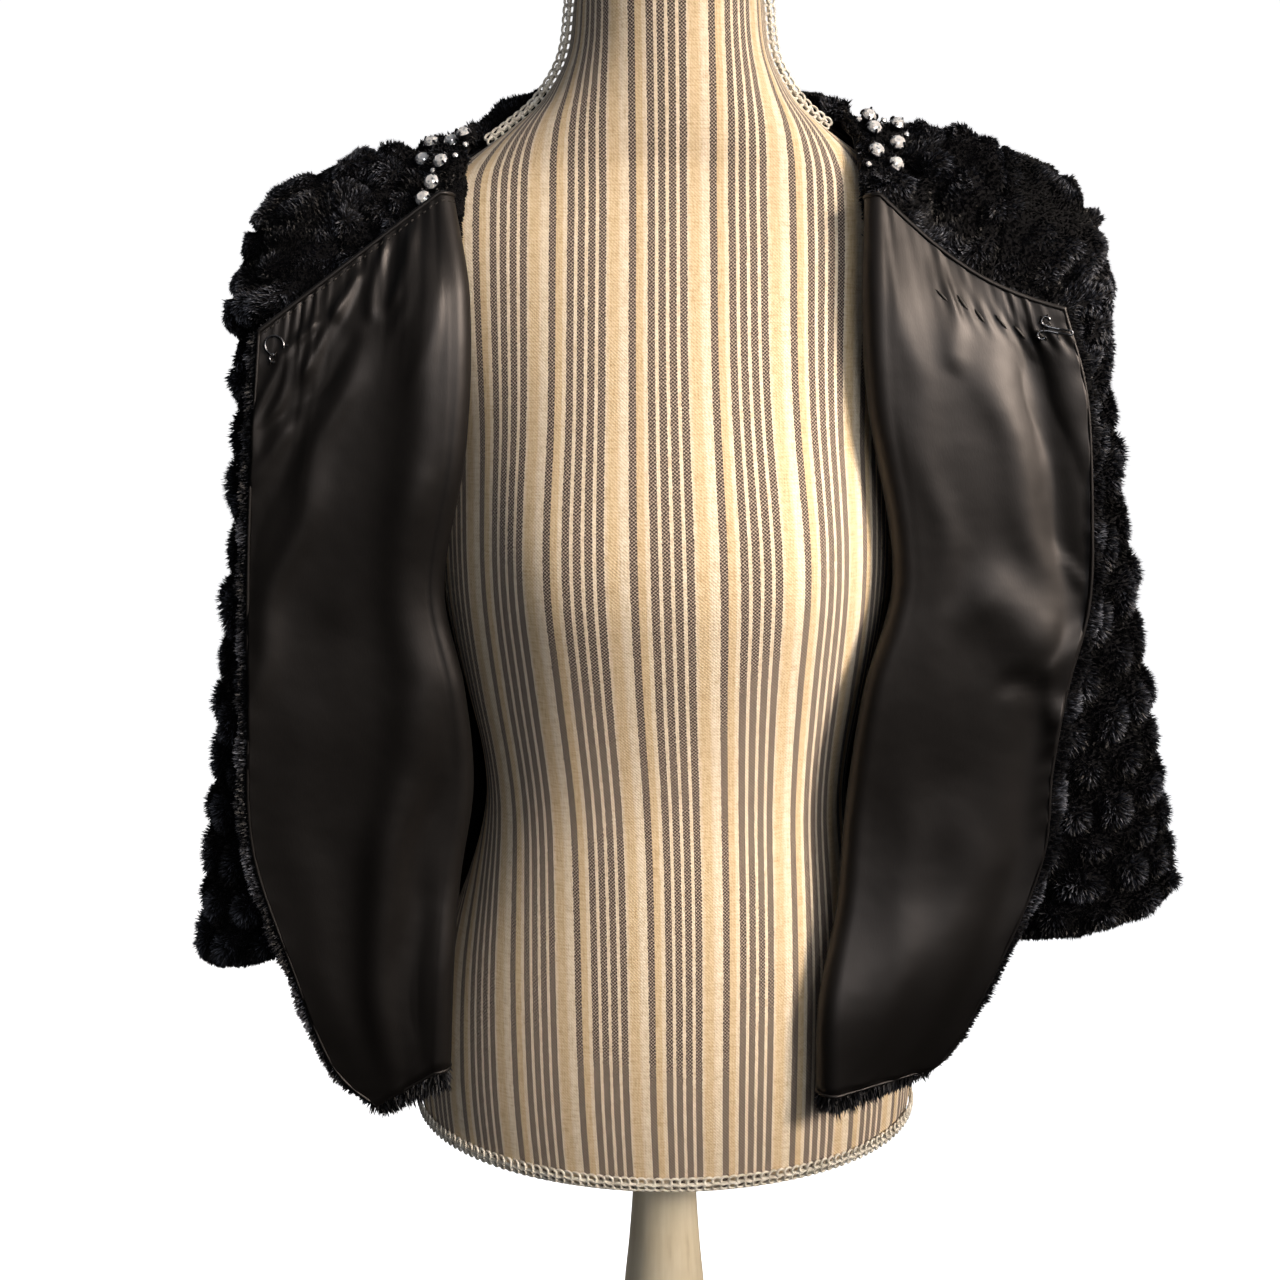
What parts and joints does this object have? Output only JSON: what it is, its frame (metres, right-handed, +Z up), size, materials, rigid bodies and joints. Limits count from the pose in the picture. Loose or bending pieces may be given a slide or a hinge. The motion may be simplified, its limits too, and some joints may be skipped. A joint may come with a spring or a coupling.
{
  "type": "faux-fur shrug on a dress form",
  "caption": "Short open jacket of black puffed faux fur with satin lining, hanging open over a limbless striped dress form on a turned stand.",
  "frame": {"origin": "centre of the foot's flat underside", "axes": "+Z up along the pole, +X to the wearer's left, -Y to the front of the form"},
  "size_m": [0.6569, 0.3, 1.052],
  "materials": {
    "fur": "short dense pile, matte",
    "satin": "satin weave, soft sheen",
    "crystal": "faceted, foiled back",
    "braid": "matte cotton gimp",
    "metal": "plated wire",
    "ticking": "woven stripe, matte",
    "paint": "hand-painted cream, satin"
  },
  "bodies": {
    "root": {"back": "fur", "back_lining": "satin", "right_front": "fur", "right_front_lining": "satin", "right_sleeve": "fur", "right_jewel_trim": "crystal", "right_neck_gimp": "braid", "left_front": "fur", "left_front_lining": "satin", "left_sleeve": "fur", "left_jewel_trim": "crystal", "left_neck_gimp": "braid", "eye": "metal", "hook": "metal", "torso": "ticking", "base_gimp": "braid", "pole": "paint", "foot": "paint"}
  },
  "joints": []
}
